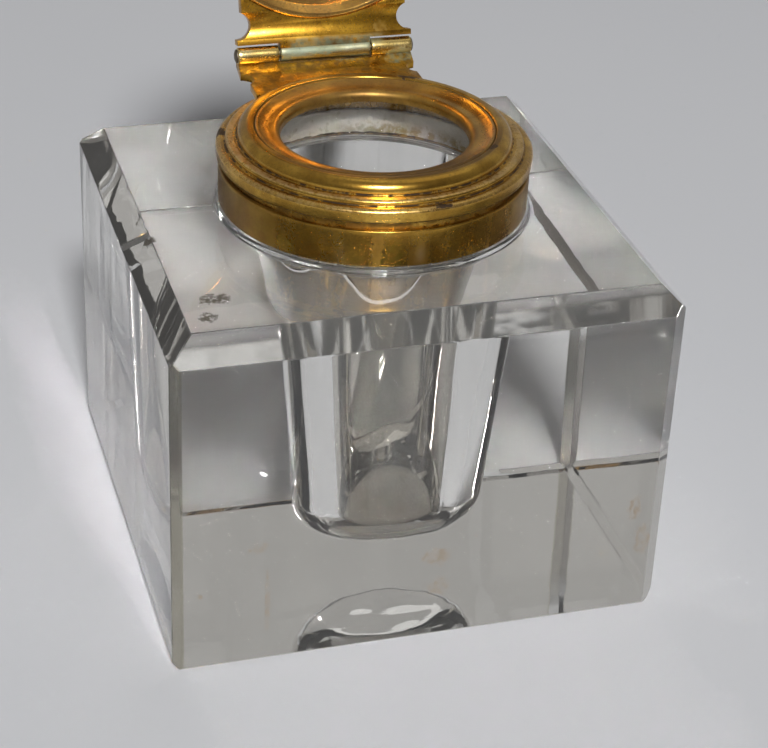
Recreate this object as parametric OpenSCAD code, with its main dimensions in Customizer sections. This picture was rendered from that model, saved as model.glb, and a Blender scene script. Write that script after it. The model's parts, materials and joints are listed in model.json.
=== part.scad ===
// Square cut-glass ink bottle with a gilt brass collar and a hinged, domed brass lid.
// Millimetres, +Z up. The origin is the centre of the block's base, and the hinge is at the back, +Y.
// The model stands with its lid open, resting on the hinge's stop.

/* [Glass block] */
// Width and depth of the square block
block_w = 60; // [54:0.5:72]
// Height of the block's flat top
block_h = 43; // [38:0.5:52]
// Width of the polished chamfer round the top, across the top face
chamfer_w = 2.9; // [1:0.1:5]
// Height of the same chamfer
chamfer_h = 2.9; // [1:0.1:5]
// Height of the chamfer along the left side
left_chamfer_h = 2.6; // [1:0.1:5]
// Width of the ground-off front left corner
front_left_arris = 0.9; // [0.3:0.1:3]
// Width of the ground-off front right corner
front_right_arris = 2; // [0.3:0.1:3]
// Width of the two ground-off back corners
back_arris = 1.1; // [0.3:0.1:3]
// Width of the small chamfer round the base
foot_arris = 0.8; // [0.1:0.1:1.5]

/* [Well and neck] */
// How far the well's top lies to the right of the block's middle
well_x = 0.3; // [-0.5:0.1:0.5]
// Radius of the well level with the block's top
well_top_r = 14.6; // [13.5:0.1:14.8]
// Radius of the well just above its rounded bottom
well_foot_r = 11.8; // [11.6:0.1:12.6]
// Thickness of glass under the well
well_floor = 6.5; // [6:0.5:9]
// Radius of the well's rounded bottom corner
well_corner_r = 5; // [2:0.5:5]
// Lean of the moulded well from upright, its foot to the front, in degrees
well_lean = 4.5; // [2:0.5:5]
// Lean of the moulded well, its foot to the left, in degrees
well_side_lean = 1.5; // [0:0.5:2]
// How far the ground neck and its collar lie to the right of the block's middle
neck_x = 0.7; // [-0.5:0.1:0.8]
// Outer radius of the glass neck inside the collar
neck_r = 16.6; // [16.2:0.1:16.7]
// Height of the neck above the block
neck_rise = 8; // [7:0.1:8]

/* [Collar] */
// Outer radius of the plain band
band_r = 18.5; // [18.4:0.1:18.7]
// Thickness of the band's sheet brass
band_wall = 0.6; // [0.4:0.05:0.7]
// Height of the band's lower edge above the block
band_lift = 0.7; // [0.6:0.1:0.9]
// Height of the band itself
band_h = 4.5; // [3.5:0.1:4.9]
// Outer radius of the moulded rim's flange
flange_r = 18.8; // [18.6:0.1:19.5]
// Outer radius of the worn step above the flange
step_r = 17.7; // [17.2:0.1:18]
// Outer radius of the raised bead that the lid closes onto
bead_r = 16.3; // [16:0.1:16.5]
// Inner radius of the raised bead
bead_bore_r = 14.3; // [14:0.1:14.6]
// Radius of the mouth
mouth_r = 11.2; // [10.5:0.1:11.6]

/* [Hinge] */
// Distance of the hinge pin behind the block's centre
hinge_y = 21; // [21:0.1:22]
// Height of the hinge pin above the block's top
hinge_rise = 11; // [10.9:0.1:11.2]
// Length of the hinge over its knuckles
hinge_w = 22.4; // [20:0.2:24]
// Length of the lid's middle knuckle
mid_knuckle_w = 11.6; // [8:0.2:14]
// Outer radius of the knuckles
knuckle_r = 1.05; // [0.95:0.05:1.1]
// Radius of the hinge pin
pin_r = 0.55; // [0.45:0.05:0.6]
// Half width of the lid's leaf at its waist; the collar's leaf is a little fuller
leaf_waist = 9.4; // [8.5:0.1:10]
// Half width of the lid's leaf at its lobes
leaf_lobe = 10.5; // [10.1:0.1:10.7]

/* [Lid] */
// How far the lid is open from closed, in degrees
open_angle = 105; // [95:1:110]
// Outer radius of the lid's moulded ring
lid_r = 17; // [16.8:0.1:17.5]
// Inner radius of the same ring
lid_bore_r = 15.3; // [14.8:0.1:15.5]
// Thickness of the lid's ring and leaf
lid_plate = 1.6; // [1.2:0.1:1.7]
// Radius of the dome where it springs from its step
dome_r = 13.8; // [12:0.1:14.2]
// Rise of the dome above its step
dome_rise = 4.8; // [3:0.1:9]
// Thickness of the dome's sheet brass
dome_wall = 0.7; // [0.4:0.1:0.8]

/* [Hidden] */
$fn = 96;

eps = 0.01;
half_w = block_w / 2;

// Heights above the block's top
flange_z = 6.2;
flange_h = 1.7;
step_h = 0.65;
step_z = flange_z + flange_h;
bead_z = step_z + step_h;
bead_top = 10.1;
spigot_depth = 2;
lid_z = bead_top + 0.1;

// Neck foot: a low shoulder under the band, round-edged, and a hollow fillet from it up to the neck
shoulder_r = 18.9;
shoulder_h = 0.6;
shoulder_round = 0.35;
neck_fillet_r = 1.2;
cement_foot = shoulder_h + neck_fillet_r;
cement_top = 4.8;

// Throat: a shallow dished ledge that rolls over into the mouth
throat_roll_r = 0.9;
throat_roll_top = 9.4;
throat_top = 9.9;
dish_r = 6;
dish_depth = 0.55;
dish_shift = 1;

// The well widens steadily from its foot to the block's top
well_slope = (well_top_r - well_foot_r) / (block_h - well_floor - well_corner_r);

// The neck is bored a little wider, down to just below the block's top
bore_step = 0.3;
bore_depth = 0.5;
spigot_r = band_r - band_wall;
spigot_wall = 0.6;
rim_hollow_r = spigot_r - spigot_wall;
spigot_foot = band_lift + band_h - spigot_depth;
neck_gap = 0.1;

// Hinge clearances
running_gap = 0.05;
side_gap = 0.15;
swing_gap = 0.3;
leaf_edge = knuckle_r + swing_gap;
side_knuckle_w = (hinge_w - mid_knuckle_w) / 2 - side_gap;
leaf_top = 9.45;
leaf_rise = 0.85;
leaf_bend = 1.8;
leaf_slant = 0.2;
trough_r = 5;
trough_depth = 0.3;
pin_head_r = 0.85;
pin_head_w = 0.3;
notch_r = 1.7;
notch_s = 3.7;
leaf_end = 8.6;
collar_leaf_extra = 0.4;

// Bevel inside the lid's ring
bore_bevel = 1;
bore_bevel_h = 0.75;

// Dome profile, measured from the top of the lid's ring
foot_r = 16.2;
foot_h = 0.8;
cove_r = 1.6;
dome_step_r = foot_r - cove_r;
dome_step_h = 0.4;
dome_step_inset = 0.3;
dome_z = foot_h + cove_r + dome_step_h;
dome_ball_r = (pow(dome_r, 2) + pow(dome_rise, 2)) / (2 * dome_rise);
ball_z = dome_z + dome_rise - dome_ball_r;

brass = [0.80, 0.60, 0.20];
dark_brass = [0.62, 0.45, 0.16];

// ---- 2D sections, drawn as radius against height ----

// The waste outside a rounded outer corner of radius c; up is 1 for a top corner and -1 for a bottom one
module corner_waste(r, z, c, up) {
    difference() {
        translate([r - c, up > 0 ? z - c : z - eps]) square([c + eps, c + eps]);
        translate([r - c, z - up * c]) circle(c);
    }
}

// A ring's section with its outer corners rounded
module ring_section(r_in, r_out, z, h, top_c, bottom_c) {
    difference() {
        translate([r_in, z]) square([r_out - r_in, h]);
        corner_waste(r_out, z + h, top_c, 1);
        corner_waste(r_out, z, bottom_c, -1);
    }
}

module well_section() {
    translate([0, well_floor]) square([well_foot_r - well_corner_r, well_corner_r + eps]);
    translate([well_foot_r - well_corner_r, well_floor + well_corner_r]) circle(well_corner_r);
    polygon([
        [0, well_floor + well_corner_r],
        [well_foot_r, well_floor + well_corner_r],
        [well_top_r + well_slope, block_h + 1],
        [0, block_h + 1]
    ]);
}

module neck_section() {
    square([neck_r, neck_rise]);
    difference() {
        square([shoulder_r, shoulder_h]);
        corner_waste(shoulder_r, shoulder_h, shoulder_round, 1);
    }
    difference() {
        square([neck_r + neck_fillet_r, cement_foot]);
        translate([neck_r + neck_fillet_r, cement_foot]) circle(neck_fillet_r);
    }
}

// Outline of a hinge leaf, extra wider than the lid's at its waist and lobes: x across, and y the
// distance from the hinge pin
module leaf_outline(extra = 0) {
    lobe = leaf_lobe + extra / 2;
    difference() {
        union() {
            translate([-lobe, leaf_edge]) square([2 * lobe, leaf_end - leaf_edge]);
            translate([-hinge_w / 2, leaf_edge]) square([hinge_w, notch_s - notch_r / 2 - leaf_edge]);
        }
        for (side = [-1, 1]) translate([side * (leaf_waist + extra + notch_r), notch_s]) circle(notch_r);
    }
}

// ---- Glass ----

module block_body() {
    intersection() {
        linear_extrude(block_h) polygon([
            [-half_w + front_left_arris, -half_w], [half_w - front_right_arris, -half_w],
            [half_w, -half_w + front_right_arris], [half_w, half_w - back_arris],
            [half_w - back_arris, half_w], [-half_w + back_arris, half_w],
            [-half_w, half_w - back_arris], [-half_w, -half_w + front_left_arris]
        ]);
        side_shape(left_chamfer_h);
        rotate([0, 0, 90]) side_shape(chamfer_h);
    }
}

// The block's shape seen from the front, drawn out along Y: the top chamfers and the small ones round
// the base. left_h is the height of the chamfer at -X
module side_shape(left_h) {
    translate([0, half_w + 1, 0]) rotate([90, 0, 0]) linear_extrude(block_w + 2) polygon([
        [-half_w + foot_arris, 0], [half_w - foot_arris, 0],
        [half_w, foot_arris], [half_w, block_h - chamfer_h],
        [half_w - chamfer_w, block_h], [-half_w + chamfer_w, block_h],
        [-half_w, block_h - left_h], [-half_w, foot_arris]
    ]);
}

// One piece of glass: the block, the neck ground on its top and the moulded well
module glass_block() color([0.86, 0.88, 0.87, 0.5]) difference() {
    union() {
        block_body();
        at_neck() rotate_extrude() neck_section();
    }
    translate([well_x, 0, block_h]) rotate([-well_lean, well_side_lean, 0]) translate([0, 0, -block_h])
        rotate_extrude() intersection() {
            well_section();
            square([block_w, 2 * block_h]);
        }
    translate([well_x, 0, block_h - bore_depth]) cylinder(h = 2 * neck_rise, r = well_top_r + bore_step);
}

// Plaster that holds the collar on the neck
module neck_cement() color([0.90, 0.90, 0.84]) at_neck() rotate_extrude() difference() {
    translate([neck_r, cement_foot]) square([spigot_r - neck_r, cement_top - cement_foot]);
    translate([rim_hollow_r, spigot_foot]) square([spigot_wall + eps, cement_top]);
}

// ---- Collar ----

// The middle of the ground neck, level with the block's top
module at_neck() {
    translate([neck_x, 0, block_h]) children();
}

// Plain strip of sheet brass rolled into a ring
module collar_band() color(dark_brass) at_neck() rotate_extrude()
    ring_section(spigot_r, band_r, band_lift, band_h, 0.25, 0.15);

// Spun rim: a spigot inside the band, the flange, the step and the raised bead, hollow over the neck
module collar_rim() color(brass) at_neck() rotate_extrude() difference() {
    union() {
        translate([rim_hollow_r, spigot_foot]) square([spigot_wall, flange_z - spigot_foot + eps]);
        ring_section(bead_bore_r, flange_r, flange_z, flange_h, 0.5, 0.3);
        ring_section(bead_bore_r, step_r, step_z - eps, step_h + eps, 0.4, eps);
        ring_section(bead_bore_r, bead_r, bead_z - eps, bead_top - bead_z + eps, 0.95, eps);
    }
    square([neck_r + neck_gap, neck_rise]);
}

// Ring that lines the bead: a dished ledge rolled over into the mouth, sitting on the glass
module collar_throat() color(brass) at_neck() rotate_extrude() {
    roll_mid = [mouth_r + throat_roll_r, throat_roll_top - throat_roll_r];
    translate(roll_mid) circle(throat_roll_r);
    translate([mouth_r, neck_rise]) square([throat_roll_r, roll_mid.y - neck_rise]);
    difference() {
        polygon([
            [roll_mid.x, neck_rise], [bead_bore_r, neck_rise],
            [bead_bore_r, throat_top], [roll_mid.x, throat_roll_top]
        ]);
        translate([(roll_mid.x + bead_bore_r) / 2 - dish_shift, throat_top + dish_r - dish_depth]) circle(dish_r);
    }
}

// ---- Hinge ----

module over_block() {
    translate([0, 0, block_h]) children();
}

module at_hinge() {
    translate([0, hinge_y, block_h + hinge_rise]) children();
}

// A cylinder along the hinge, from x0, of length w
module bar(x0, w, r) {
    translate([x0, 0, 0]) rotate([0, 90, 0]) cylinder(h = w, r = r);
}

// A knuckle bored for the pin
module knuckle(x0, w) {
    difference() {
        bar(x0, w, knuckle_r);
        bar(x0 - 1, w + 2, pin_r + running_gap);
    }
}

// Lobed plate soldered on the step behind the bead, turned up at the back to meet the knuckles
module collar_leaf() color(brass) difference() {
    intersection() {
        translate([0, hinge_y, block_h]) mirror([0, 1, 0]) linear_extrude(2 * hinge_rise) union() {
            leaf_outline(collar_leaf_extra);
            translate([-hinge_w / 2, -knuckle_r / 2]) square([hinge_w, leaf_edge + knuckle_r]);
        }
        translate([-hinge_w / 2, 0, block_h]) rotate([90, 0, 90]) linear_extrude(hinge_w) polygon([
            [0, bead_z], [hinge_y - leaf_bend, bead_z], [hinge_y + knuckle_r / 2, bead_z + leaf_rise],
            [hinge_y + knuckle_r / 2, hinge_rise - knuckle_r / 2],
            [hinge_y - knuckle_r / 2, hinge_rise - knuckle_r / 2 - leaf_slant],
            [hinge_y - leaf_bend - leaf_slant, leaf_top], [0, leaf_top]
        ]);
    }
    translate([neck_x, 0, 0]) cylinder(h = 2 * block_h, r = bead_r);
    at_hinge() bar(-mid_knuckle_w / 2 - side_gap, mid_knuckle_w + 2 * side_gap, leaf_edge);
    at_hinge() bar(-hinge_w, 2 * hinge_w, knuckle_r);
}

module collar_knuckles() color(dark_brass) at_hinge() {
    knuckle(-hinge_w / 2, side_knuckle_w);
    knuckle(hinge_w / 2 - side_knuckle_w, side_knuckle_w);
}

// Pin with a low peened head at each end
module hinge_pin() color([0.35, 0.33, 0.28]) at_hinge() {
    bar(-hinge_w / 2 - pin_head_w / 2, hinge_w + pin_head_w, pin_r);
    bar(-hinge_w / 2 - pin_head_w, pin_head_w, pin_head_r);
    bar(hinge_w / 2, pin_head_w, pin_head_r);
}

// ---- Lid, drawn closed and swung open about the pin ----

module swung_open() {
    at_hinge() rotate([-open_angle, 0, 0]) translate([0, -hinge_y, -block_h - hinge_rise]) children();
}

// Lobed plate between the middle knuckle and the lid's ring, with a shallow hollow along its inner face
module lid_leaf() color(brass) swung_open() difference() {
    translate([0, hinge_y, block_h + lid_z]) mirror([0, 1, 0]) linear_extrude(lid_plate) union() {
        leaf_outline();
        translate([-mid_knuckle_w / 2, 0]) square([mid_knuckle_w, leaf_edge + eps]);
    }
    at_hinge() bar(-hinge_w, 2 * hinge_w, knuckle_r);
    translate([0, 0, block_h]) cylinder(h = 2 * block_h, r = lid_r);
    translate([0, hinge_y - notch_s, block_h + lid_z + trough_depth - trough_r])
        bar(-hinge_w, 2 * hinge_w, trough_r);
}

module lid_knuckle() color([0.62, 0.62, 0.50]) swung_open() at_hinge()
    knuckle(-mid_knuckle_w / 2, mid_knuckle_w);

// Moulded ring round the lid's edge, chamfered where it opens into the dome
module lid_ring() color(brass) swung_open() over_block() translate([0, 0, lid_z]) rotate_extrude()
    difference() {
        ring_section(lid_bore_r, lid_r, 0, lid_plate, 0.5, 0.35);
        polygon([[lid_bore_r - eps, -eps], [lid_bore_r + bore_bevel, -eps], [lid_bore_r - eps, bore_bevel_h]]);
    }

// Spun dome with a rolled foot, a cove and a small step
module lid_dome() color(brass) swung_open() over_block() translate([0, 0, lid_z + lid_plate])
    rotate_extrude() difference() {
        union() {
            ring_section(0, foot_r, 0, foot_h, 0.35, 0.2);
            difference() {
                translate([0, foot_h - eps]) square([foot_r, cove_r + eps]);
                translate([foot_r, foot_h + cove_r]) circle(cove_r);
            }
            ring_section(0, dome_step_r - dome_step_inset, dome_z - dome_step_h - eps, dome_step_h + eps, 0.15, eps);
            intersection() {
                translate([0, ball_z]) circle(dome_ball_r);
                translate([0, dome_z - eps]) square([dome_r, dome_rise + 1]);
            }
        }
        translate([0, -eps]) square([foot_r - dome_wall, foot_h - dome_wall / 2 + eps]);
        translate([0, -eps]) square([dome_step_r - dome_wall, foot_h + cove_r - dome_wall + eps]);
        intersection() {
            translate([0, ball_z]) circle(dome_ball_r - dome_wall);
            square([dome_r - dome_wall, dome_z + dome_rise]);
        }
    }

glass_block();
neck_cement();
collar_band();
collar_rim();
collar_throat();
collar_leaf();
collar_knuckles();
hinge_pin();
lid_leaf();
lid_knuckle();
lid_ring();
lid_dome();
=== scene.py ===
"""Looks of the square cut-glass ink bottle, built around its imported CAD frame. Metres, +Z up."""

import json
import math

import bmesh
import bpy
from mathutils import Matrix, Vector, noise


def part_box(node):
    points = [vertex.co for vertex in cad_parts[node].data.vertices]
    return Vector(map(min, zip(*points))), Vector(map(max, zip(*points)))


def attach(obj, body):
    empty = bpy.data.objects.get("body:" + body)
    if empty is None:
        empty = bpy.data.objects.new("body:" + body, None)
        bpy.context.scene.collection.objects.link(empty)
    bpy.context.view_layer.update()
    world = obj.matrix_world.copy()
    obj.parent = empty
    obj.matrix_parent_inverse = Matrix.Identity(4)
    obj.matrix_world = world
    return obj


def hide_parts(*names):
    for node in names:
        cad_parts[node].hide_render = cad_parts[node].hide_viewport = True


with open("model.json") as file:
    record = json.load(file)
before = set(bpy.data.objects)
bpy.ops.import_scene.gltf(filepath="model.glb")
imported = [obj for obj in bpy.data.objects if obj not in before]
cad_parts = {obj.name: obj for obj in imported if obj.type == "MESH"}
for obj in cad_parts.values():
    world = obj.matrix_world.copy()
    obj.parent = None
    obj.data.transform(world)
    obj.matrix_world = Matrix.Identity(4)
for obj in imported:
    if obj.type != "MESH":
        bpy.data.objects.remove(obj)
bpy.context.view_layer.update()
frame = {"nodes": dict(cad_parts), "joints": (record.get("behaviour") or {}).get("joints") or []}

MM = 0.001
HINGE = frame["joints"][0]
PIN = Vector(HINGE["pos_m"])
OPEN = math.radians(HINGE["range_deg"][1])


def size(node):
    """Lengths of a CAD node's box."""
    low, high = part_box(node)
    return high - low


def centre(node):
    """Middle of a CAD node's box."""
    low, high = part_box(node)
    return (low + high) / 2


# ---- Places and sizes; what the frame's boxes don't give is as in CAD ----

RIM_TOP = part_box("collar_rim")[1].z
NECK_X = centre("collar_rim").x
NECK_RISE = 8 * MM
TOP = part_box("glass_block")[1].z - NECK_RISE
HALF = size("glass_block").x / 2
NECK_R = 16.6 * MM
BAND_R = size("collar_band").x / 2
FLANGE_R = size("collar_rim").x / 2
BORE_R = size("collar_throat").x / 2
PIN_HALF = size("hinge_pin").x / 2
MID_HALF = size("lid_knuckle").x / 2
LID_R = size("lid_ring").x / 2

# ---- Geometry helpers ----


def arc(centre_r, centre_z, radius, start, end, steps):
    """Points on an arc in a section; angles in degrees, 0 outwards and 90 up."""
    points = []
    for i in range(steps + 1):
        a = math.radians(start + (end - start) * i / steps)
        points.append((centre_r + radius * math.cos(a), centre_z + radius * math.sin(a)))
    return points


def rounded(corners, steps=6, closed=True):
    """A section's outline from its corners (r, z, radius), with each corner rounded by its radius."""
    out = []
    count = len(corners)
    for i, (r, z, radius) in enumerate(corners):
        here = Vector((r, z))
        if radius <= 0 or (not closed and i in (0, count - 1)):
            out.append(here)
            continue
        before = Vector(corners[i - 1][:2]) - here
        after = Vector(corners[(i + 1) % count][:2]) - here
        half = before.angle(after) / 2
        reach = radius / math.tan(half)
        mid = here + (before.normalized() + after.normalized()).normalized() * radius / math.sin(half)
        first = here + before.normalized() * reach - mid
        last = here + after.normalized() * reach - mid
        turn = first.angle_signed(last)
        for k in range(steps + 1):
            a = -turn * k / steps
            spun = Vector((first.x * math.cos(a) - first.y * math.sin(a),
                           first.x * math.sin(a) + first.y * math.cos(a)))
            out.append(mid + spun)
    return [(p[0], p[1]) for p in out]


def refined(outline, step, closed=True):
    """The same outline with its long straight stretches cut into pieces of at most step."""
    out = []
    count = len(outline)
    for i in range(count if closed else count - 1):
        a, b = Vector(outline[i]), Vector(outline[(i + 1) % count])
        parts = max(1, math.ceil((b - a).length / step))
        out += [tuple(a.lerp(b, k / parts)) for k in range(parts)]
    if not closed:
        out.append(tuple(outline[-1]))
    return out


def new_piece(name, bm, crease=32):
    """An object from a bmesh, smooth where its faces meet at less than crease degrees."""
    bmesh.ops.recalc_face_normals(bm, faces=bm.faces)
    mesh = bpy.data.meshes.new(name)
    bm.to_mesh(mesh)
    bm.free()
    mesh.shade_smooth()
    mesh.set_sharp_from_angle(angle=math.radians(crease))
    piece = bpy.data.objects.new(name, mesh)
    bpy.context.scene.collection.objects.link(piece)
    return piece


def ring_of(bm, x, r, z, segments):
    """Points of a level circle of radius r round the upright line through (x, 0)."""
    verts = []
    for k in range(segments):
        a = 2 * math.pi * k / segments
        verts.append(bm.verts.new((x + r * math.cos(a), r * math.sin(a), z)))
    return verts


def bridge(bm, a, b):
    """Faces between two rings."""
    for k in range(len(a)):
        n = (k + 1) % len(a)
        bm.faces.new((a[k], a[n], b[n], b[k]))


def lathe(outline, x=0.0, z=0.0, segments=256):
    """A closed section turned about the upright line through (x, 0)."""
    bm = bmesh.new()
    rings = [ring_of(bm, x, r, z + h, segments) for r, h in outline]
    for i, ring in enumerate(rings):
        bridge(bm, ring, rings[(i + 1) % len(rings)])
    return bm


def solid_lathe(outline, x=0.0, z=0.0, segments=256):
    """A section that starts and ends on the axis, turned about the upright line through (x, 0)."""
    bm = bmesh.new()
    first = bm.verts.new((x, 0, z + outline[0][1]))
    last = bm.verts.new((x, 0, z + outline[-1][1]))
    rings = [ring_of(bm, x, r, z + h, segments) for r, h in outline[1:-1]]
    for a, b in zip(rings, rings[1:]):
        bridge(bm, a, b)
    for k in range(segments):
        n = (k + 1) % segments
        bm.faces.new((first, rings[0][n], rings[0][k]))
        bm.faces.new((last, rings[-1][k], rings[-1][n]))
    return bm


def lay_along_pin(bm):
    """Lays a piece that was made about the upright axis through the origin along the hinge's axis."""
    turn = Matrix.Translation(PIN) @ Matrix.Rotation(math.radians(90), 4, "Y")
    bmesh.ops.transform(bm, matrix=turn, verts=bm.verts)
    return bm


def swing_open(bm):
    """Takes a piece of the lid from its closed place to where it stands."""
    swing = Matrix.Translation(PIN) @ Matrix.Rotation(-OPEN, 4, "X") @ Matrix.Translation(-PIN)
    bmesh.ops.transform(bm, matrix=swing, verts=bm.verts)
    return bm


def uneven(bm, amount, grain, seed):
    """Moves each point a little along its normal, as hand work leaves a surface."""
    bm.normal_update()
    for v in bm.verts:
        v.co += v.normal * amount * noise.noise(v.co / grain + Vector((seed, 0, 0)))
    return bm


# ---- Glass ----

CHAMFER_W = 2.9 * MM
CHAMFER_H = 2.9 * MM
LEFT_CHAMFER_H = 2.6 * MM
FRONT_LEFT = 0.9 * MM
FRONT_RIGHT = 2 * MM
BACK_CORNER = 1.1 * MM
FOOT_ARRIS = 0.8 * MM
FRONT_FOOT_ARRIS = 0.4 * MM
EDGE = 0.09 * MM
WELL_X = 0.3 * MM
WELL_LEAN, WELL_SIDE_LEAN = 4.5, 1.5
WELL_FLOOR = 6.5 * MM
RIPPLE = 0.16 * MM


def slice_off(bm, point, normal):
    """Cuts away what lies outside a plane and closes the cut."""
    made = bmesh.ops.bisect_plane(
        bm, geom=bm.verts[:] + bm.edges[:] + bm.faces[:],
        plane_co=point, plane_no=normal, clear_outer=True,
    )
    edges = [e for e in made["geom_cut"] if isinstance(e, bmesh.types.BMEdge)]
    bmesh.ops.edgeloop_fill(bm, edges=edges)


def cut_block():
    """The block's flats, chamfers and ground corners, with each edge just broken."""
    bm = bmesh.new()
    bmesh.ops.create_cube(bm, size=2)
    bmesh.ops.scale(bm, vec=(HALF, HALF, TOP / 2), verts=bm.verts)
    bmesh.ops.translate(bm, vec=(0, 0, TOP / 2), verts=bm.verts)
    corners = (-1, -1, FRONT_LEFT), (1, -1, FRONT_RIGHT), (-1, 1, BACK_CORNER), (1, 1, BACK_CORNER)
    for sx, sy, leg in corners:
        slice_off(bm, Vector((sx * HALF, sy * (HALF - leg), 0)), Vector((sx, sy, 0)))
    for side in (Vector((1, 0, 0)), Vector((-1, 0, 0)), Vector((0, 1, 0)), Vector((0, -1, 0))):
        top_edge = side * (HALF - CHAMFER_W) + Vector((0, 0, TOP))
        height = LEFT_CHAMFER_H if side.x < 0 else CHAMFER_H
        slice_off(bm, top_edge, side * height + Vector((0, 0, CHAMFER_W)))
        arris = FRONT_FOOT_ARRIS if side.y < 0 else FOOT_ARRIS
        slice_off(bm, side * HALF + Vector((0, 0, arris)), side - Vector((0, 0, 1)))
    bmesh.ops.bevel(bm, geom=bm.edges[:], offset=EDGE, segments=2, profile=0.5, affect="EDGES")
    return bm


def neck_outline():
    """The neck's outside from the top face up: a low round-edged shoulder and a ground neck."""
    shoulder_r, shoulder_h, neck_fillet = 18.9 * MM, 0.6 * MM, 1.2 * MM
    shoulder = rounded([
        (shoulder_r + 0.6 * MM, 0, 0), (shoulder_r, 0, 0.2 * MM),
        (shoulder_r, shoulder_h, 0.35 * MM), (NECK_R + neck_fillet, shoulder_h, 0),
    ], steps=6, closed=False)
    inner = arc(NECK_R + neck_fillet, shoulder_h + neck_fillet, neck_fillet, 270, 180, 8)[1:]
    return shoulder + inner + arc(NECK_R - 0.3 * MM, NECK_RISE - 0.3 * MM, 0.3 * MM, 0, 90, 4)


def well_outline():
    """The well from the neck's mouth down to the middle of its floor."""
    foot_r, corner = 11.8 * MM, 5 * MM
    bore_r, bend, lip = 14.9 * MM, 60 * MM, 0.4 * MM
    wall = rounded([
        (bore_r, TOP + NECK_RISE - lip, 0), (bore_r, TOP, bend), (foot_r, WELL_FLOOR + corner, 0),
    ], steps=10, closed=False)
    points = arc(bore_r + lip, TOP + NECK_RISE - lip, lip, 90, 180, 5)[:-1]
    points += refined(wall, 0.7 * MM, closed=False)
    points += arc(foot_r - corner, WELL_FLOOR + corner, corner, 0, -90, 14)[1:]
    return points + [((foot_r - corner) * k / 12, WELL_FLOOR) for k in range(11, 0, -1)]


def lean_well(verts):
    """Leans the well to the front and the left below a soft bend, and ripples its wall and floor."""
    pivot = Vector((WELL_X, 0, TOP))
    bend, ripple_full, floor_zone = 4 * MM, 8 * MM, WELL_FLOOR + 3.5 * MM
    wave_width, wave_height, floor_wave = 5 * MM, 22 * MM, 4 * MM
    lean = Matrix.Rotation(math.radians(-WELL_LEAN), 3, "X")
    lean = lean @ Matrix.Rotation(math.radians(WELL_SIDE_LEAN), 3, "Y")
    for v in verts:
        depth = TOP - v.co.z
        if depth < -bend:
            continue
        away = Vector((v.co.x - WELL_X, v.co.y, 0))
        ripple = noise.noise(Vector((v.co.x / wave_width, v.co.y / wave_width, v.co.z / wave_height)))
        v.co += away.normalized() * ripple * RIPPLE * max(0, min(1, depth / ripple_full))
        if v.co.z < floor_zone:
            v.co.z += 0.5 * RIPPLE * noise.noise(Vector((v.co.x / floor_wave, v.co.y / floor_wave, 8)))
        t = min(1, (depth + bend) / (2 * bend))
        v.co = v.co.lerp(pivot + lean @ (v.co - pivot), t * t * (3 - 2 * t))


def ring_edges(bm, ring):
    """New edges round a ring of points."""
    return [bm.edges.new((ring[k], ring[(k + 1) % len(ring)])) for k in range(len(ring))]


def glass_block(segments=288):
    """The cut block with its neck and well, in one closed surface."""
    bm = cut_block()
    top = max(bm.faces, key=lambda f: f.calc_area() if f.normal.z > 0.99 else 0)
    rim = list(top.edges)
    bmesh.ops.delete(bm, geom=[top], context="FACES_ONLY")
    rings = [ring_of(bm, NECK_X, r, TOP + h, segments) for r, h in neck_outline()]
    neck_rings = len(rings)
    for r, z in well_outline():
        rings.append(ring_of(bm, WELL_X, r, z, segments))
    border = rim + [e for e in bm.edges if e.is_wire] + ring_edges(bm, rings[0])
    bmesh.ops.triangle_fill(bm, edges=border, use_beauty=True)
    for a, b in zip(rings, rings[1:]):
        bridge(bm, a, b)
    middle = bm.verts.new((WELL_X, 0, rings[-1][0].co.z))
    lean_well([v for ring in rings[neck_rings:] for v in ring] + [middle])
    for k in range(segments):
        bm.faces.new((rings[-1][k], rings[-1][(k + 1) % segments], middle))
    bm.normal_update()
    # The neck, its shoulder and the well are shaded smooth, and the cut faces flat.
    past_shoulder = 20.5 * MM
    flat = [f.calc_center_median().xy.length > past_shoulder or len(f.verts) == 3 for f in bm.faces]
    piece = new_piece("cut_glass_block", bm, crease=20)
    for polygon, is_flat in zip(piece.data.polygons, flat):
        polygon.use_smooth = not is_flat
    return piece


# ---- Collar and hinge ----

FLANGE, FLANGE_TOP, STEP_TOP = 6.2 * MM, 7.9 * MM, 8.55 * MM
STEP_R, BEAD_R = 17.7 * MM, 16.3 * MM
MOUTH_R, ROLL_R = 11.2 * MM, 0.9 * MM
PIN_HEAD = 0.3 * MM
KNUCKLE_GAP = 0.15 * MM
COLLAR_SEAM, LID_SEAM = 0.6, 2.2
BROKEN_EDGE = 0.12 * MM


def collar_band():
    """Plain band of sheet, its edges just rounded."""
    low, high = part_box("collar_band")
    inner = BAND_R - 0.6 * MM
    outline = rounded([
        (inner, 0, 0.1 * MM), (BAND_R, 0, 0.15 * MM),
        (BAND_R, high.z - low.z, 0.22 * MM), (inner, high.z - low.z, 0.12 * MM),
    ])
    return lathe(refined(outline, 0.5 * MM), NECK_X, low.z)


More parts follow.
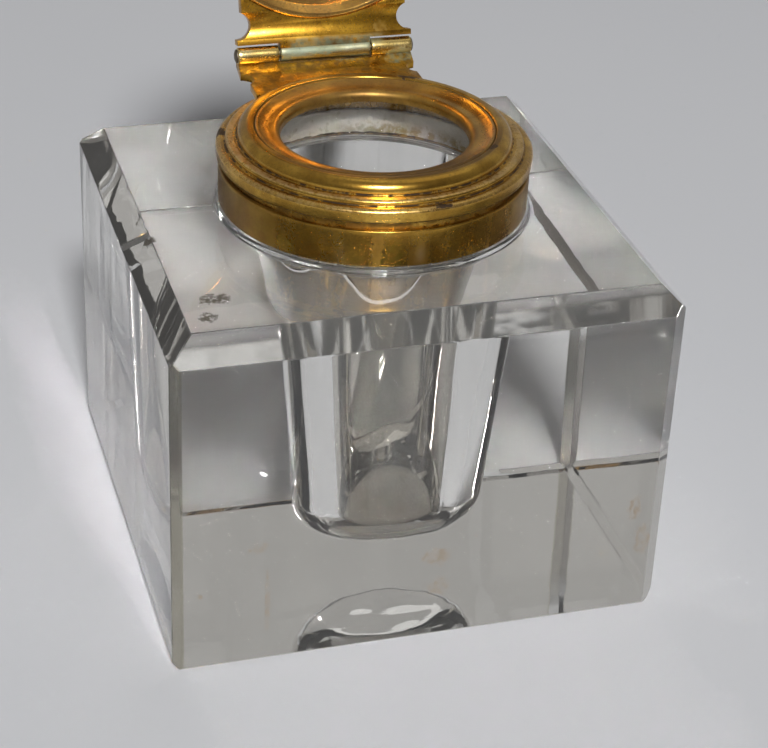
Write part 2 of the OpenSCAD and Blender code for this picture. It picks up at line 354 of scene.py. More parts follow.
def collar_rim():
    """Spigot, flange, worn step and raised bead, in one turned piece, hollow over the neck."""
    spigot_r, wall, foot = 17.9 * MM, 0.6 * MM, 3.2 * MM
    hollow_r, bead_top = 16.7 * MM, RIM_TOP - TOP
    outline = rounded([
        (spigot_r - wall, foot, 0), (spigot_r, foot, 0), (spigot_r, FLANGE, 0.15 * MM),
        (FLANGE_R, FLANGE, 0.3 * MM), (FLANGE_R, FLANGE_TOP, 0.5 * MM),
        (STEP_R, FLANGE_TOP, 0.12 * MM), (STEP_R, STEP_TOP, 0.35 * MM),
        (BEAD_R, STEP_TOP, 0.12 * MM), (BEAD_R, bead_top, 1.35 * MM),
        (BORE_R, bead_top, 0.3 * MM), (BORE_R, NECK_RISE, 0),
        (hollow_r, NECK_RISE, 0), (hollow_r, FLANGE, 0), (spigot_r - wall, FLANGE, 0),
    ], steps=9)
    return lathe(refined(outline, 0.4 * MM), NECK_X, TOP, segments=320)


def collar_throat():
    """Ledge inside the bead, dished to a fine raised edge, that rolls over into the mouth."""
    roll_top, ledge_top, dish = 9.4 * MM, 9.9 * MM, 0.16 * MM
    gap = 0.02 * MM
    bore, foot = BORE_R - gap, NECK_RISE + gap
    outline = arc(MOUTH_R + ROLL_R, roll_top - ROLL_R, ROLL_R, 180, 90, 12)
    ledge = bore - 0.55 * MM - MOUTH_R - ROLL_R
    for k in range(1, 9):
        t = k / 8
        z = roll_top + (ledge_top - roll_top) * t - dish * math.sin(math.pi * t)
        outline.append((MOUTH_R + ROLL_R + ledge * t, z))
    outline += arc(bore - 0.3 * MM, ledge_top - 0.14 * MM, 0.28 * MM, 130, 0, 8)
    outline += [(bore, foot), (MOUTH_R, foot)]
    return lathe(refined(outline, 0.4 * MM), NECK_X, TOP, segments=320)


def neck_cement():
    """Lumpy ring of plaster between the glass and the collar."""
    low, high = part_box("neck_cement")
    inner, outer = NECK_R + 0.2 * MM, size("neck_cement").x / 2 - 0.05 * MM
    upper_r, foot_h, height = 17.2 * MM, 1.3 * MM, high.z - low.z
    outline = rounded([
        (inner, 0, 0.1 * MM), (outer, 0, 0.3 * MM), (outer, foot_h, 0.1 * MM),
        (upper_r, foot_h, 0.1 * MM), (upper_r, height, 0.1 * MM), (inner, height, 0.1 * MM),
    ], steps=3)
    bm = lathe(refined(outline, 0.25 * MM), NECK_X, low.z, segments=360)
    uneven(bm, amount=0.12 * MM, grain=1.1 * MM, seed=3)
    return uneven(bm, amount=0.05 * MM, grain=0.45 * MM, seed=9)


def broken_edges(node, name, width):
    """A new piece of a CAD node's shape with its sharp edges broken."""
    bm = bmesh.new()
    bm.from_mesh(frame["nodes"][node].data)
    same_place, same_plane, sharp_from = 0.002 * MM, math.radians(0.6), math.radians(40)
    bmesh.ops.remove_doubles(bm, verts=bm.verts, dist=same_place)
    bmesh.ops.dissolve_limit(bm, angle_limit=same_plane, verts=bm.verts, edges=bm.edges)
    sharp = [e for e in bm.edges if len(e.link_faces) == 2 and e.calc_face_angle(0) > sharp_from]
    bmesh.ops.bevel(bm, geom=sharp, offset=width, segments=2, profile=0.5, affect="EDGES",
                    clamp_overlap=True)
    bmesh.ops.triangulate(bm, faces=[f for f in bm.faces if len(f.verts) > 4])
    return new_piece(name, bm)


def knuckle(x0, x1, seam):
    """A length of sheet rolled round the pin. The seam, an angle, is where its edge meets the leaf."""
    outer, inner = size("lid_knuckle").z / 2, 0.6 * MM
    seam_depth, seam_width = 0.10, 0.09
    outline = rounded([
        (inner, x0, 0.05 * MM), (outer, x0, 0.18 * MM), (outer, x1, 0.18 * MM), (inner, x1, 0.05 * MM),
    ], steps=3)
    bm = lathe(refined(outline, 0.35 * MM), segments=96)
    for v in bm.verts:
        a = math.atan2(v.co.y, v.co.x) - seam
        a = math.atan2(math.sin(a), math.cos(a))
        if Vector((v.co.x, v.co.y)).length > (inner + outer) / 2:
            pull = 1 - seam_depth * math.exp(-(a / seam_width) ** 2)
            v.co.x *= pull
            v.co.y *= pull
    return lay_along_pin(uneven(bm, amount=0.02 * MM, grain=1.2 * MM, seed=7))


def outer_knuckles():
    """The collar's two knuckles, one at each end of the pin."""
    pair = knuckle(-PIN_HALF + PIN_HEAD, -MID_HALF - KNUCKLE_GAP, COLLAR_SEAM)
    right = knuckle(MID_HALF + KNUCKLE_GAP, PIN_HALF - PIN_HEAD, COLLAR_SEAM)
    spare = bpy.data.meshes.new("spare")
    right.to_mesh(spare)
    right.free()
    pair.from_mesh(spare)
    bpy.data.meshes.remove(spare)
    return pair


def hinge_pin():
    """A shaft with a peened head at each end."""
    shaft, head = 0.55 * MM, 0.85 * MM
    crown = 0.55 * head
    end, under_head, brim = PIN_HALF, PIN_HALF - PIN_HEAD, PIN_HALF - PIN_HEAD * 0.5
    outline = [(0, -end)] + rounded([
        (crown, -end, 0.1 * MM), (head, -brim, 0.08 * MM), (head, -under_head, 0),
        (shaft, -under_head, 0), (shaft, under_head, 0),
        (head, under_head, 0), (head, brim, 0.08 * MM), (crown, end, 0.1 * MM),
    ], steps=3, closed=False) + [(0, end)]
    return lay_along_pin(solid_lathe(outline, segments=48))


# ---- Lid, made closed and then swung open ----

LID_Z = TOP + 10.2 * MM
LID_PLATE = 1.6 * MM


def lid_ring():
    """Flat moulded ring round the lid's edge, coned at its bore."""
    bore = 15.3 * MM
    outline = rounded([
        (bore, 0.75 * MM, 0.1 * MM), (bore + 1 * MM, 0, 0.1 * MM), (LID_R, 0, 0.35 * MM),
        (LID_R, LID_PLATE, 0.5 * MM), (bore, LID_PLATE, 0.1 * MM),
    ])
    return swing_open(lathe(refined(outline, 0.4 * MM), 0, LID_Z))


def lid_dome():
    """Spun sheet: a rolled foot, a cove, a small step and the dome, all one thickness."""
    foot_r, foot_h, cove, wall = 16.2 * MM, 0.8 * MM, 1.6 * MM, 0.7 * MM
    step_r, step_h = foot_r - cove, 0.4 * MM
    dome_z = foot_h + cove + step_h
    dome_r, rise = 13.8 * MM, 4.8 * MM
    ball = (dome_r ** 2 + rise ** 2) / (2 * rise)
    ball_z = dome_z + rise - ball
    spring = math.degrees(math.asin((dome_z - ball_z) / ball))
    outline = [(0, ball_z + ball)]
    outline += arc(0, ball_z, ball, 90, spring, 40)[1:]
    outline += rounded([
        (dome_r, dome_z, 0), (step_r - 0.3 * MM, dome_z, 0.15 * MM),
        (step_r - 0.3 * MM, dome_z - step_h, 0.05 * MM), (step_r, dome_z - step_h, 0),
    ], steps=4, closed=False)[1:]
    outline += arc(foot_r, foot_h + cove, cove, 180, 270, 12)
    under_cove = foot_h + cove - wall
    outline += rounded([
        (foot_r, foot_h, 0), (foot_r, 0.02 * MM, 0.2 * MM), (foot_r - wall, 0.02 * MM, 0.1 * MM),
        (foot_r - wall, foot_h - wall / 2, 0.1 * MM), (step_r - wall, foot_h - wall / 2, 0.2 * MM),
        (step_r - wall, under_cove, 0.2 * MM), (dome_r - wall - 0.3 * MM, under_cove + 0.3 * MM, 0.2 * MM),
    ], steps=4, closed=False)[1:]
    inner = ball - wall
    edge = math.degrees(math.asin((under_cove + 0.6 * MM - ball_z) / inner))
    outline += arc(0, ball_z, inner, edge, 90, 30)[:-1]
    outline += [(0, ball_z + inner)]
    return swing_open(solid_lathe(outline, 0, LID_Z + LID_PLATE))


# ---- Materials ----


class Finish:
    """A node material. Most methods add nodes and return an output. Places are in frame coordinates."""

    def __init__(self, name):
        self.material = bpy.data.materials.new(name)
        self.material.use_nodes = True
        self.tree = self.material.node_tree
        self.shader = self.tree.nodes["Principled BSDF"]
        self.place = self.tree.nodes.new("ShaderNodeTexCoord").outputs["Object"]
        self.ragged = self.times(self.minus(self.noise(0.7, 3, 0.7, seed=1), 0.5), 2)

    def put(self, socket, value):
        """Links a socket to a node's output, or sets it to a number, vector or colour."""
        if isinstance(value, bpy.types.NodeSocket):
            self.tree.links.new(value, socket)
        elif isinstance(value, (tuple, Vector)) and len(value) == 3 and socket.type == "RGBA":
            socket.default_value = (*value, 1)
        else:
            socket.default_value = value

    def set(self, name, value):
        """Puts a value on the shader's own socket."""
        self.put(self.shader.inputs[name], value)

    def math(self, operation, a, b=0.0):
        """A number worked out from one or two others."""
        node = self.tree.nodes.new("ShaderNodeMath")
        node.operation = operation
        self.put(node.inputs[0], a)
        self.put(node.inputs[1], b)
        return node.outputs[0]

    def plus(self, a, b):
        return self.math("ADD", a, b)

    def minus(self, a, b):
        return self.math("SUBTRACT", a, b)

    def times(self, first, *others):
        """Masks and numbers multiplied together."""
        out = first
        for other in others:
            out = self.math("MULTIPLY", out, other)
        return out

    def any(self, first, *others):
        """The largest of some masks."""
        out = first
        for other in others:
            out = self.math("MAXIMUM", out, other)
        return out

    def vector(self, operation, a, b=(0.0, 0.0, 0.0)):
        """A vector, or the length of one, worked out from one or two vectors."""
        node = self.tree.nodes.new("ShaderNodeVectorMath")
        node.operation = operation
        self.put(node.inputs[0], a)
        self.put(node.inputs[1], b)
        return node.outputs["Value" if operation == "LENGTH" else "Vector"]

    def axis(self, vector, name):
        """One coordinate of a vector."""
        node = self.tree.nodes.new("ShaderNodeSeparateXYZ")
        self.put(node.inputs[0], vector)
        return node.outputs[name]

    def along(self, name):
        """A coordinate in mm."""
        return self.math("DIVIDE", self.axis(self.place, name), MM)

    def turned(self):
        """Distance from the collar's axis and height over the block's top face, in mm."""
        away = self.vector("SUBTRACT", self.place, Vector((NECK_X, 0, TOP)))
        radius = self.vector("LENGTH", self.vector("MULTIPLY", away, (1, 1, 0)))
        return self.math("DIVIDE", radius, MM), self.math("DIVIDE", self.axis(away, "Z"), MM)

    def noise(self, size_mm, detail=4.0, roughness=0.55, stretch=(1, 1, 1), seed=0.0):
        """Cloudy noise from 0 to 1, size_mm across; stretch makes it longer along an axis."""
        node = self.tree.nodes.new("ShaderNodeTexNoise")
        scaled = self.vector("MULTIPLY", self.place, Vector([1 / (s * size_mm * MM) for s in stretch]))
        self.put(node.inputs["Vector"], self.vector("ADD", scaled, (seed, seed * 0.7, seed * 1.3)))
        node.inputs["Scale"].default_value = 1
        node.inputs["Detail"].default_value = detail
        node.inputs["Roughness"].default_value = roughness
        return node.outputs[0]

    def step(self, value, low, high):
        """0 below low and 1 above high, smooth between; the other way round if low is the larger."""
        node = self.tree.nodes.new("ShaderNodeMapRange")
        node.interpolation_type = "SMOOTHSTEP"
        self.put(node.inputs["Value"], value)
        flip = low > high
        self.put(node.inputs["From Min"], min(low, high))
        self.put(node.inputs["From Max"], max(low, high))
        self.put(node.inputs["To Min"], 1.0 if flip else 0.0)
        self.put(node.inputs["To Max"], 0.0 if flip else 1.0)
        return node.outputs[0]

    def within(self, value, low, high, soft=0.1):
        """1 between low and high, with soft ends."""
        above = self.step(value, low - soft, low + soft)
        return self.times(above, self.step(value, high + soft, high - soft))

    def mix(self, share, a, b):
        """A colour that goes from a to b as share goes from 0 to 1."""
        node = self.tree.nodes.new("ShaderNodeMix")
        node.data_type = "RGBA"
        self.put(node.inputs[0], share)
        self.put(node.inputs[6], a)
        self.put(node.inputs[7], b)
        return node.outputs[2]

    def blend(self, share, a, b):
        """A number that goes from a to b as share goes from 0 to 1."""
        node = self.tree.nodes.new("ShaderNodeMix")
        self.put(node.inputs[0], share)
        self.put(node.inputs[2], a)
        self.put(node.inputs[3], b)
        return node.outputs[0]

    def near(self, point, reach, stretch=(1, 1, 1)):
        """1 within reach of a point in mm and 0 outside, with a ragged edge; stretch draws it out."""
        away = self.vector("SUBTRACT", self.place, Vector(point) * MM)
        away = self.vector("MULTIPLY", away, Vector([1 / (s * reach * MM) for s in stretch]))
        soft = 0.15
        return self.step(self.plus(self.vector("LENGTH", away), self.ragged), 1 + soft, 1 - soft)

    def bump(self, height, depth_mm):
        """Fine relief, depth_mm deep where height is 1."""
        node = self.tree.nodes.new("ShaderNodeBump")
        node.inputs["Strength"].default_value = 1
        node.inputs["Distance"].default_value = depth_mm * MM
        self.put(node.inputs["Height"], height)
        self.set("Normal", node.outputs[0])


def crystal():
    """Lead crystal, a little dusty, with some of its cut edges matt, a film of residue in the well, dried
    ink on the top and stains low on the front."""
    f = Finish("crystal")
    f.set("IOR", 1.62)
    smudge = f.step(f.noise(9, 3, seed=2), 0.5, 0.75)
    grain = f.noise(0.45, 3, 0.7, seed=6)
    top, front = TOP / MM, -HALF / MM
    ink = f.any(
        f.near((-23.0, -20.2, top), 1.2, (1.3, 0.9, 1)),
        f.near((-24.7, -24.0, top), 0.95),
        f.near((-27.4, -4.7, top - 0.2), 0.8, (1, 1.3, 1)),
    )
    stains = f.any(
        f.near((-19.0, front, 8.6), 2.4, (0.13, 1, 1.6)),
        f.near((1.2, front, 11.5), 1.5, (1.2, 1, 0.8)),
        f.near((1.6, front, 7.2), 1.3),
        f.near((25.6, front, 14.5), 1.2, (0.7, 1, 1.5)),
        f.near((27, front, 9.8), 1.6, (0.6, 1, 1.4)),
        f.near((-20.2, front, 16), 0.8, (1.4, 1, 0.8)),
        f.near((-26.9, front, 10.3), 0.35),
    )
    dark = f.times(ink, f.step(grain, 0.40, 0.48))
    brown = f.times(stains, f.step(grain, 0.35, 0.6))
    # The three narrow upright corners are ground, and the wide one at the front right is polished.
    corner = f.plus(f.math("ABSOLUTE", f.along("X")), f.math("ABSOLUTE", f.along("Y")))
    narrow_corners = 58.8
    ground = f.step(corner, narrow_corners - 0.05, narrow_corners + 0.05)
    # The front chamfer is where Z - Y is largest.
    front_chamfer = top + HALF / MM - CHAMFER_W / MM
    matt = f.step(f.minus(f.along("Z"), f.along("Y")), front_chamfer - 0.1, front_chamfer - 0.02)
    # Only the well's surface lies within this radius and between these depths.
    radius, height = f.turned()
    well = f.times(f.step(radius, 20, 19), f.within(height, -39, -3, 2))
    low = f.blend(f.step(height, -22, -34), 0.8, 1.0)
    film = f.times(well, low, f.blend(f.noise(5, 3, seed=61), 0.5, 1.0))
    clear = f.mix(smudge, (0.895, 0.888, 0.86), (0.86, 0.85, 0.82))
    clear = f.mix(film, clear, (0.55, 0.51, 0.43))
    clear = f.mix(ground, clear, (0.50, 0.47, 0.36))
    f.set("Base Color", f.mix(dark, f.mix(brown, clear, (0.42, 0.32, 0.22)), (0.05, 0.04, 0.025)))
    haze = f.plus(f.times(smudge, 0.02), 0.012)
    solid = f.any(f.times(dark, 0.96), f.times(brown, 0.3), f.times(film, 0.08), f.times(matt, 0.08), haze)
    f.set("Transmission Weight", f.minus(1.0, solid))
    rough = f.any(f.times(dark, 0.4), f.times(ground, 0.12), f.times(matt, 0.09), f.times(smudge, 0.006))
    f.set("Roughness", rough)
    waves = f.noise(6, 2, 0.4, (1, 1, 3), seed=5)
    f.bump(f.plus(waves, f.times(dark, 0.5)), 0.035)
    return f.material


BROWN = (0.09, 0.045, 0.012)
# Soil colour, also used as painted shade on the rim, band and throat.
SOIL_AND_SHADE = (0.04, 0.02, 0.007)
PALE_GOLD = (0.74, 0.56, 0.31)
VERDIGRIS = (0.15, 0.24, 0.18)


def brass(name, bright, dull, rough, soil_and_shade=None, wear_and_painted_reflections=None, green=None, speckle=0.45):
    """Old gilt brass. The masks are functions that take the Finish and give a mask: soil that on some
    pieces is partly painted shade, wear that on the band is painted reflections, and verdigris.
    """
    f = Finish(name)
    cloud = f.noise(4, 4, 0.55)
    fine = f.noise(0.35, 5, 0.7, seed=4)
    pits = f.step(f.noise(0.7, 3, 0.6, seed=8), 0.66, 0.72)
    colour = f.mix(f.step(cloud, 0.36, 0.62), bright, dull)
    colour = f.mix(f.times(f.step(fine, 0.45, 0.8), speckle), colour, BROWN)
    colour = f.mix(f.times(pits, speckle), colour, BROWN)
    roughness = f.plus(f.times(fine, 0.2), rough - 0.08)
    metal = f.minus(1.0, f.times(pits, 0.6 * speckle))
    # The first cover lightens to pale gold: worn gilding, and on the band painted reflections. The second
    # darkens to soil colour: soil, and on the rim, band and throat painted shade.
    covers = (wear_and_painted_reflections, PALE_GOLD, 0.5, 0.85), (soil_and_shade, SOIL_AND_SHADE, 0.55, 0.5), (green, VERDIGRIS, 0.7, 0.15)
    for mask, tint, tint_rough, tint_metal in covers:
        if mask:
            share = mask(f)
            colour = f.mix(share, colour, tint)
            roughness = f.blend(share, roughness, tint_rough)
            metal = f.blend(share, metal, tint_metal)
    f.set("Base Color", colour)
    f.set("Roughness", roughness)
    f.set("Metallic", metal)
    relief = f.plus(f.times(fine, speckle), f.times(cloud, 1.5))
    f.bump(f.minus(relief, f.times(pits, speckle)), 0.015)
    return f.material


def rim_soil_and_painted_shade(f):
    """Painted shade and soil: dark lines at the foot of the bead and of the step and under the flange, a
    painted dark reflection on the front of the lip, and a few real pits.
    """
    radius, height = f.turned()
    bead_r, step_r = BEAD_R / MM, STEP_R / MM
    step_top, flange_top, flange = STEP_TOP / MM, FLANGE_TOP / MM, FLANGE / MM
    broken = f.step(f.noise(1.1, 4, 0.6, seed=11), 0.36, 0.55)
    # Dark lines in the creases at the feet of the bead and the step, partly soil and partly painted shade.
    bead_foot = f.times(
        f.step(radius, bead_r + 0.3, bead_r + 0.1), f.step(height, step_top + 0.3, step_top + 0.15),
        f.step(radius, bead_r - 0.8, bead_r - 0.3),
    )
    step_foot = f.times(
        f.step(radius, step_r + 0.28, step_r + 0.12), f.step(height, flange_top + 0.25, flange_top + 0.1),
        f.step(radius, step_r - 0.5, step_r - 0.2),
    )
    # Painted shade under the flange.
    under = f.times(f.step(height, flange + 0.35, flange + 0.1), f.step(radius, step_r + 0.3, step_r + 0.6))
    bore_r = BORE_R / MM
    # Painted dark reflection on the front half of the bead's inner edge.
    lip = f.times(f.step(radius, bore_r + 1, bore_r + 0.6), f.step(f.along("Y"), 2, -8))
    lines = f.any(f.times(f.any(bead_foot, step_foot, under), broken), f.times(lip, 0.75))
    pits = f.any(
        f.near((12.1, -8.9, 53.0), 0.65, (1.3, 1, 1)),
        f.near((3.5, -18.2, 50.8), 0.5, (2.0, 1.2, 0.4)),
        f.near((-9.3, 12.7, 52.9), 0.9, (1.3, 1, 1)),
        f.near((9.5, 13.2, 53.6), 1.3, (1.6, 1, 1)),
        f.near((-17.0, 6.0, 50.5), 1.2),
    )
    return f.any(lines, pits)


def rim_worn(f):
    """Gilding worn pale on the ledge round the bead and along the flange's edge, most at the left."""
    radius, height = f.turned()
    bead_r, step_r = BEAD_R / MM, STEP_R / MM
    step_top, flange_top = STEP_TOP / MM, FLANGE_TOP / MM
    patchy = f.step(f.noise(0.5, 5, 0.7, seed=14), 0.25, 0.75)
    left = f.blend(f.step(f.along("X"), 10, -4), 0.55, 0.9)
    top = f.within(height, step_top - 0.15, step_top + 0.2, 0.08)
    ledge = f.times(top, f.within(radius, bead_r + 0.45, step_r - 0.1, 0.12))
    side = f.within(height, flange_top - 0.4, flange_top + 0.1, 0.12)
    edge = f.times(side, f.step(radius, step_r + 0.35, step_r + 0.6))
    return f.times(f.any(ledge, f.times(edge, 0.5)), patchy, left)


def band_painted_shade_and_soil(f):
    """Painted shade: the band darker towards its ends, where it turns from the light, with dark upright
    streaks as painted reflections, and soil along its foot.
    """
    _, height = f.turned()
    across = f.math("ABSOLUTE", f.along("X"))
    streaks = f.noise(2.6, 2, 0.4, (1, 1, 5), seed=21)
    # Painted shade towards the band's ends.
    ends = f.times(f.step(across, 10, BAND_R / MM), f.step(streaks, 0.2, 0.6))
    foot = f.times(f.step(height, 1.1, 0.4), f.step(f.noise(0.7, 4, seed=22), 0.4, 0.6))
    # Dark upright streaks over the whole band are painted reflections.
    return f.times(f.any(ends, foot, f.step(streaks, 0.45, 0.9)), 0.45)


def band_painted_reflections(f):
    """Painted reflections: two soft pale patches low on the band's front, where light off the glass shows.
    """
    _, height = f.turned()
    across = f.along("X")
    patches = f.any(f.within(across, -8.0, -7.6, 0.5), f.within(across, 0.6, 1.4, 0.6))
    return f.times(patches, f.within(height, 1.3, 3.0, 1.0), 0.3)


def band_green(f):
    """Verdigris in patches along the band's foot."""
    _, height = f.turned()
    return f.times(f.step(height, 0.75, 0.35), f.step(f.noise(1.3, 5, 0.6, seed=27), 0.48, 0.6), 0.6)


def throat_joint_and_painted_shade(f):
    """A dark joint round the ledge, and painted shade on the roll, the front and the back of the throat."""
    radius, _ = f.turned()
    mouth_r, roll_r = MOUTH_R / MM, ROLL_R / MM
    joint_r = BORE_R / MM - 0.1
    joint = f.times(f.step(radius, joint_r - 0.08, joint_r), f.step(f.noise(1.5, 4, seed=33), 0.25, 0.5))
    # Painted shade on the front of the roll, on the throat's front and, at half strength, its back.
    over_roll = f.step(radius, mouth_r + roll_r + 0.5, mouth_r + 0.3)
    roll = f.times(over_roll, f.step(f.along("Y"), 6, -5))
    front = f.step(f.along("Y"), -7, -11)
    back = f.times(f.step(f.along("Y"), 7, 11), 0.5)
    return f.any(f.times(joint, 0.75), f.times(f.any(roll, front), 0.85), back)


def hinge_dirt(f):
    """Soil gathered along the knuckles."""
    up = f.math("ABSOLUTE", f.minus(f.along("Z"), PIN.z / MM))
    return f.times(f.step(up, 2.4, 1.2), f.step(f.noise(1.4, 5, 0.6, seed=41), 0.42, 0.62), 0.7)


def hinge_green(f):
    """Verdigris on the leaves beside the middle knuckle, most at the right."""
    above = f.minus(f.along("Z"), PIN.z / MM)
    strip = f.times(f.within(f.along("X"), -4.5, 7.5, 0.6), f.within(above, 0.7, 1.9, 0.3))
    patches = f.any(
        strip,
        f.near((9.6, 20.0, 53.0), 1.2, (1.6, 1, 1)),
        f.times(f.near((7.3, 21.5, 56.3), 1.0), 0.3),
        f.near((3.0, 19.8, 53.4), 1.0, (2.5, 1, 0.5)),
    )
    soft = f.step(f.noise(0.9, 4, 0.6, seed=43), 0.25, 0.6)
    return f.times(patches, soft, 0.55)


def knuckle_green(f):
    """Verdigris on the knuckle's upper half."""
    up = f.step(f.along("Z"), PIN.z / MM - 0.1, PIN.z / MM + 0.5)
    patchy = f.step(f.noise(1.6, 5, 0.6, (2, 1, 1), seed=45), 0.3, 0.6)
    return f.times(f.any(f.times(up, patchy), f.step(patchy, 0.8, 1.0)), 0.55)


def plaster():
    """White plaster, smooth at the top where it met the neck and crinkled below, browned at its foot."""
    f = Finish("plaster")
    _, height = f.turned()
    wander = f.times(f.minus(f.noise(3.2, 3, 0.5, seed=51), 0.5), 1.6)
    level = f.plus(height, wander)
    smooth_from = 5.6
    smooth = f.step(level, smooth_from, smooth_from + 0.3)
    line = f.within(level, smooth_from - 0.2, smooth_from + 0.1, 0.15)
    grain = f.noise(0.55, 5, 0.65)
    lumps = f.noise(1.4, 4, 0.6, seed=53)
    white = f.mix(f.step(lumps, 0.30, 0.45), (0.70, 0.67, 0.58), (0.99, 0.98, 0.95))
    yellowed = f.times(f.step(height, 4.0, 2.4), f.step(lumps, 0.35, 0.6), f.step(f.along("X"), -4, 9))
    white = f.mix(yellowed, white, (0.42, 0.31, 0.13))
    colour = f.mix(smooth, white, f.mix(grain, (0.86, 0.86, 0.82), (0.72, 0.72, 0.68)))
    f.set("Base Color", f.mix(line, colour, (0.22, 0.21, 0.17)))
    f.set("Roughness", f.blend(grain, 0.25, 0.6))
    f.bump(f.times(f.plus(grain, lumps), f.blend(smooth, 1.0, 0.12)), 0.5)
    return f.material


def steel():
    """Dark, unpolished steel."""
    f = Finish("pin_steel")
    f.set("Metallic", 1.0)
    grain = f.noise(0.5, 5, 0.6)
    f.set("Base Color", f.mix(grain, (0.10, 0.08, 0.06), (0.25, 0.21, 0.15)))
    f.set("Roughness", f.blend(grain, 0.35, 0.6))
    f.bump(grain, 0.03)
    return f.material


def finish_piece(piece, body, node, material):
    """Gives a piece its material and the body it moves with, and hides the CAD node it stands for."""
    piece.data.materials.clear()
    piece.data.materials.append(material)
    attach(piece, body)
    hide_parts(node)


# ---- Camera, floor and light ----

CAMERA_AT = Vector((-67.613, -223.892, 156.991)) * MM
CAMERA_AZIMUTH, CAMERA_ELEVATION, CAMERA_ROLL = -17.5502, 30.5351, 2.6548
CAMERA_LENS, SENSOR = 101.2, 36
FLOOR_HALF, FLOOR_DROP = 4, 0.05 * MM
LIGHT_AIM = Vector((0, 0, 30 * MM))


def outwards(azimuth, elevation):
    """The way from the bottle at an azimuth (0 to the front, 90 to the right) and an elevation."""
    a, e = math.radians(azimuth), math.radians(elevation)
    return Vector((math.sin(a) * math.cos(e), -math.cos(a) * math.cos(e), math.sin(e)))


def make_camera():
    """The camera from which the bottle looks as it does in the photograph."""
    data = bpy.data.cameras.new("camera")
    data.lens, data.sensor_width = CAMERA_LENS, SENSOR
    data.clip_start, data.clip_end = 0.01, 20
    camera = bpy.data.objects.new("camera", data)
    bpy.context.scene.collection.objects.link(camera)
    azimuth, roll = math.radians(CAMERA_AZIMUTH), math.radians(CAMERA_ROLL)
    back = outwards(CAMERA_AZIMUTH, CAMERA_ELEVATION)
    level = Vector((math.cos(azimuth), math.sin(azimuth), 0))
    rise = back.cross(level)
    right = level * math.cos(roll) + rise * math.sin(roll)
    up = rise * math.cos(roll) - level * math.sin(roll)
    turn = Matrix((right, up, back)).transposed().to_4x4()
    camera.matrix_world = Matrix.Translation(CAMERA_AT) @ turn
    bpy.context.scene.camera = camera


def make_floor():
    """A plain pale floor, a hair below the bottle's foot."""
    bm = bmesh.new()
    bmesh.ops.create_grid(bm, x_segments=24, y_segments=24, size=FLOOR_HALF)
    floor = new_piece("floor", bm)
    floor.location.z = -FLOOR_DROP
    f = Finish("floor")
    f.set("Base Color", f.mix(f.noise(120, 3), (0.65, 0.66, 0.69), (0.69, 0.695, 0.715)))
    f.set("Roughness", f.blend(f.noise(3, 3), 0.55, 0.7))
    floor.data.materials.append(f.material)


def add_light(name, azimuth, elevation, distance, width, power):
    """A square soft light, placed as the bottle sees it and turned to it."""
    data = bpy.data.lights.new(name, "AREA")
    data.size, data.energy = width, power
    light = bpy.data.objects.new(name, data)
    bpy.context.scene.collection.objects.link(light)
    away = outwards(azimuth, elevation)
    light.location = LIGHT_AIM + away * distance
    light.rotation_mode = "QUATERNION"
    light.rotation_quaternion = away.to_track_quat("Z", "Y")


def make_world():
    """A dim room in front of the bottle and a pale wall behind it, with no edge between them."""
    room, wall, towards_wall = (0.11, 0.10, 0.09, 1), (0.34, 0.333, 0.322, 1), (0, 0.9, 0.25)
    world = bpy.data.worlds.new("room")
    bpy.context.scene.world = world
    world.use_nodes = True
    world.cycles_visibility.diffuse = False
    tree = world.node_tree
    facing = tree.nodes.new("ShaderNodeVectorMath")
    facing.operation = "DOT_PRODUCT"
    tree.links.new(tree.nodes.new("ShaderNodeTexCoord").outputs["Generated"], facing.inputs[0])
    facing.inputs[1].default_value = towards_wall
    share = tree.nodes.new("ShaderNodeMapRange")
    tree.links.new(facing.outputs["Value"], share.inputs["Value"])
    share.inputs["From Min"].default_value, share.inputs["From Max"].default_value = -0.6, 0.5
    shade = tree.nodes.new("ShaderNodeMix")
    shade.data_type = "RGBA"
    tree.links.new(share.outputs[0], shade.inputs[0])
    shade.inputs[6].default_value, shade.inputs[7].default_value = room, wall
    tree.links.new(shade.outputs[2], tree.nodes["Background"].inputs[0])


def make_lights():
    add_light("key", -8, 42, 3.0, 0.42, 88)
    add_light("top", 120, 70, 1.2, 0.8, 0.8)
    add_light("fill", -9, 26, 1.5, 0.9, 0.9)


# ---- Build ----

make_camera()
make_floor()
make_world()
make_lights()
bpy.context.scene.view_settings.view_transform = "Standard"
bpy.context.scene.cycles.max_bounces = 28
bpy.context.scene.cycles.transmission_bounces = 28
bpy.context.scene.cycles.sample_clamp_indirect = 100
bpy.context.scene.cycles.blur_glossy = 0
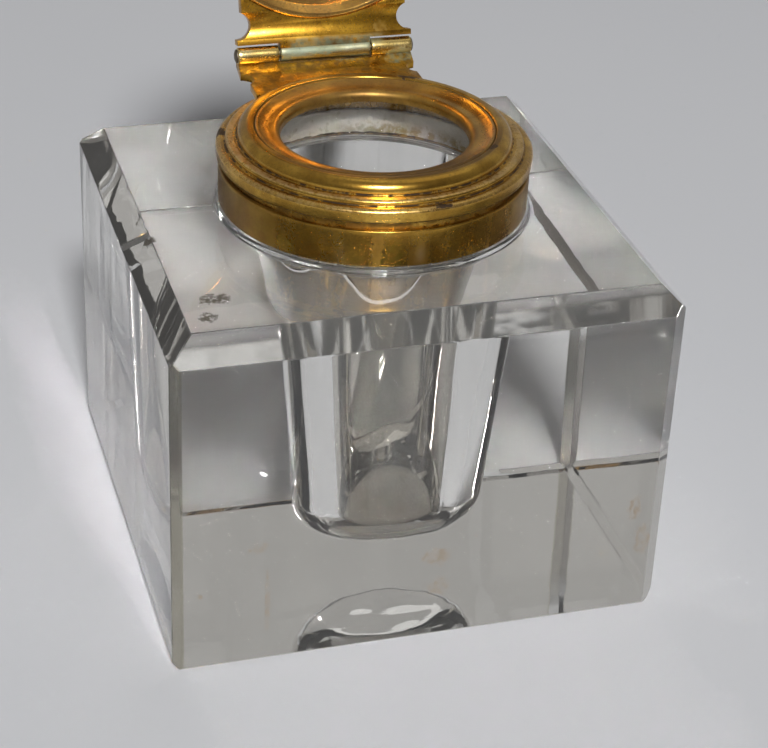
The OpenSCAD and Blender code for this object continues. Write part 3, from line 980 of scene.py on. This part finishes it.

# The band's darkening is painted shade and soil, and its pale patches are painted reflections.
band_brass = brass(
    "band_brass", (0.50, 0.29, 0.05), (0.35, 0.19, 0.03), 0.22,
    soil_and_shade=band_painted_shade_and_soil, wear_and_painted_reflections=band_painted_reflections, green=band_green, speckle=0.15,
)
# The rim's dark lines are partly painted shade, and the front of its lip carries a painted dark reflection.
rim_brass = brass(
    "rim_brass", (0.66, 0.40, 0.075), (0.42, 0.235, 0.04), 0.21, soil_and_shade=rim_soil_and_painted_shade, wear_and_painted_reflections=rim_worn,
)
# The throat's mask paints shade on its front, back and roll, as well as its dark joint.
throat_brass = brass("throat_brass", (0.64, 0.37, 0.08), (0.42, 0.23, 0.05), 0.27, soil_and_shade=throat_joint_and_painted_shade)
leaf_brass = brass(
    "leaf_brass", (0.66, 0.365, 0.04), (0.42, 0.215, 0.025), 0.26,
    soil_and_shade=hinge_dirt, green=hinge_green, speckle=0.3,
)
knuckle_brass = brass(
    "knuckle_brass", (0.80, 0.66, 0.32), (0.66, 0.48, 0.16), 0.26, green=hinge_green, speckle=0.25,
)
silvered_brass = brass(
    "silvered_brass", (0.54, 0.53, 0.38), (0.46, 0.42, 0.24), 0.36, green=knuckle_green,
)
dome_brass = brass("dome_brass", (0.80, 0.47, 0.12), (0.64, 0.36, 0.10), 0.2)

finish_piece(glass_block(), "bottle", "glass_block", crystal())
finish_piece(new_piece("plaster_ring", neck_cement()), "bottle", "neck_cement", plaster())
finish_piece(new_piece("brass_band", collar_band()), "bottle", "collar_band", band_brass)
finish_piece(new_piece("moulded_rim", collar_rim()), "bottle", "collar_rim", rim_brass)
finish_piece(new_piece("rolled_throat", collar_throat()),
             "bottle", "collar_throat", throat_brass)
finish_piece(broken_edges("collar_leaf", "hinge_leaf_collar", BROKEN_EDGE),
             "bottle", "collar_leaf", leaf_brass)
finish_piece(new_piece("outer_knuckles", outer_knuckles()),
             "bottle", "collar_knuckles", knuckle_brass)
finish_piece(new_piece("peened_pin", hinge_pin()), "bottle", "hinge_pin", steel())
finish_piece(broken_edges("lid_leaf", "hinge_leaf_lid", BROKEN_EDGE),
             "lid", "lid_leaf", leaf_brass)
finish_piece(new_piece("middle_knuckle", knuckle(-MID_HALF, MID_HALF, LID_SEAM)),
             "lid", "lid_knuckle", silvered_brass)
finish_piece(new_piece("lid_moulding", lid_ring()), "lid", "lid_ring", dome_brass)
finish_piece(new_piece("spun_dome", lid_dome()), "lid", "lid_dome", dome_brass)
